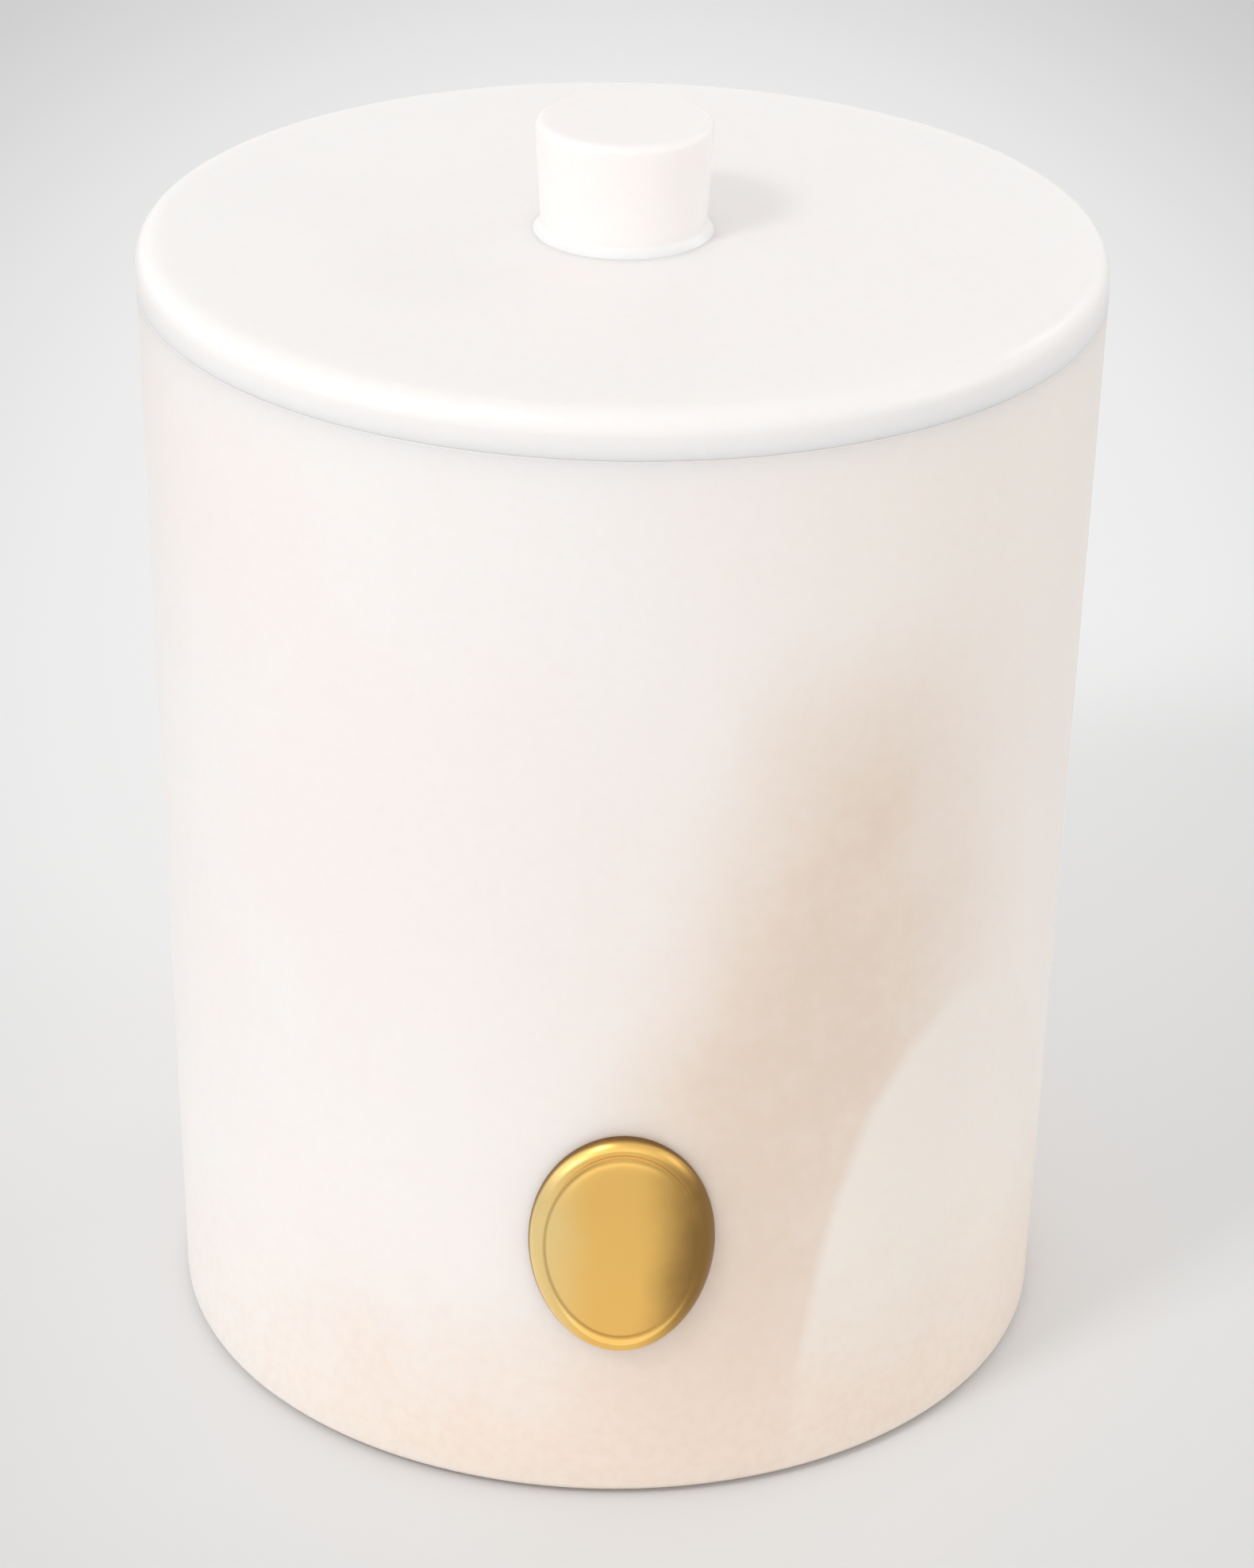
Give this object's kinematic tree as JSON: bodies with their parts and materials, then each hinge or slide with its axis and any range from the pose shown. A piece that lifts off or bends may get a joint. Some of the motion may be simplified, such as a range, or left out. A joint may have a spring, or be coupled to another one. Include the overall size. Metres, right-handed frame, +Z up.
{
  "type": "lidded stone vessel candle",
  "caption": "Scented candle in a tapered alabaster cup with a knobbed lift-off stone lid; the wax sits in a glass refill that lifts out.",
  "frame": {"origin": "centre of the underside, on the surface the candle stands on", "axes": "+Z up along the turning axis, towards the knob; the badge is on the -Y side"},
  "size_m": [0.09, 0.0911, 0.1223],
  "materials": {
    "alabaster": "honed and waxed, with soft beige veins",
    "base_felt": "pressed wool felt",
    "cushion_felt": "pressed wool felt",
    "gilt_metal": "polished gilt, slightly softened",
    "glue": "set clear adhesive",
    "cup_glass": "clear pressed glass",
    "candle_wax": "creamy wax, smooth and slightly glossy",
    "cotton_wick": "waxed braided cotton",
    "tinned_steel": "pressed tinned sheet",
    "foam_sticker": "double-sided foam",
    "silicone": "translucent silicone"
  },
  "bodies": {
    "vessel": {"vessel": "alabaster", "base_pad": "base_felt", "insert_cushion": "cushion_felt", "badge": "gilt_metal", "badge_glue": "glue"},
    "refill": {"glass_cup": "cup_glass", "wax": "candle_wax", "wick": "cotton_wick", "wick_tab": "tinned_steel", "wick_sticker": "foam_sticker"},
    "lid": {"lid": "alabaster", "lid_knob": "alabaster", "lid_seal": "silicone"}
  },
  "joints": [
    {"name": "refill_lift", "type": "slide", "parent": "vessel", "child": "refill", "axis": [0, 0, 1], "range_m": [0, 0.105]},
    {"name": "lid_lift", "type": "slide", "parent": "refill", "child": "lid", "axis": [0, 0, 1], "range_m": [0, 0.08]}
  ]
}
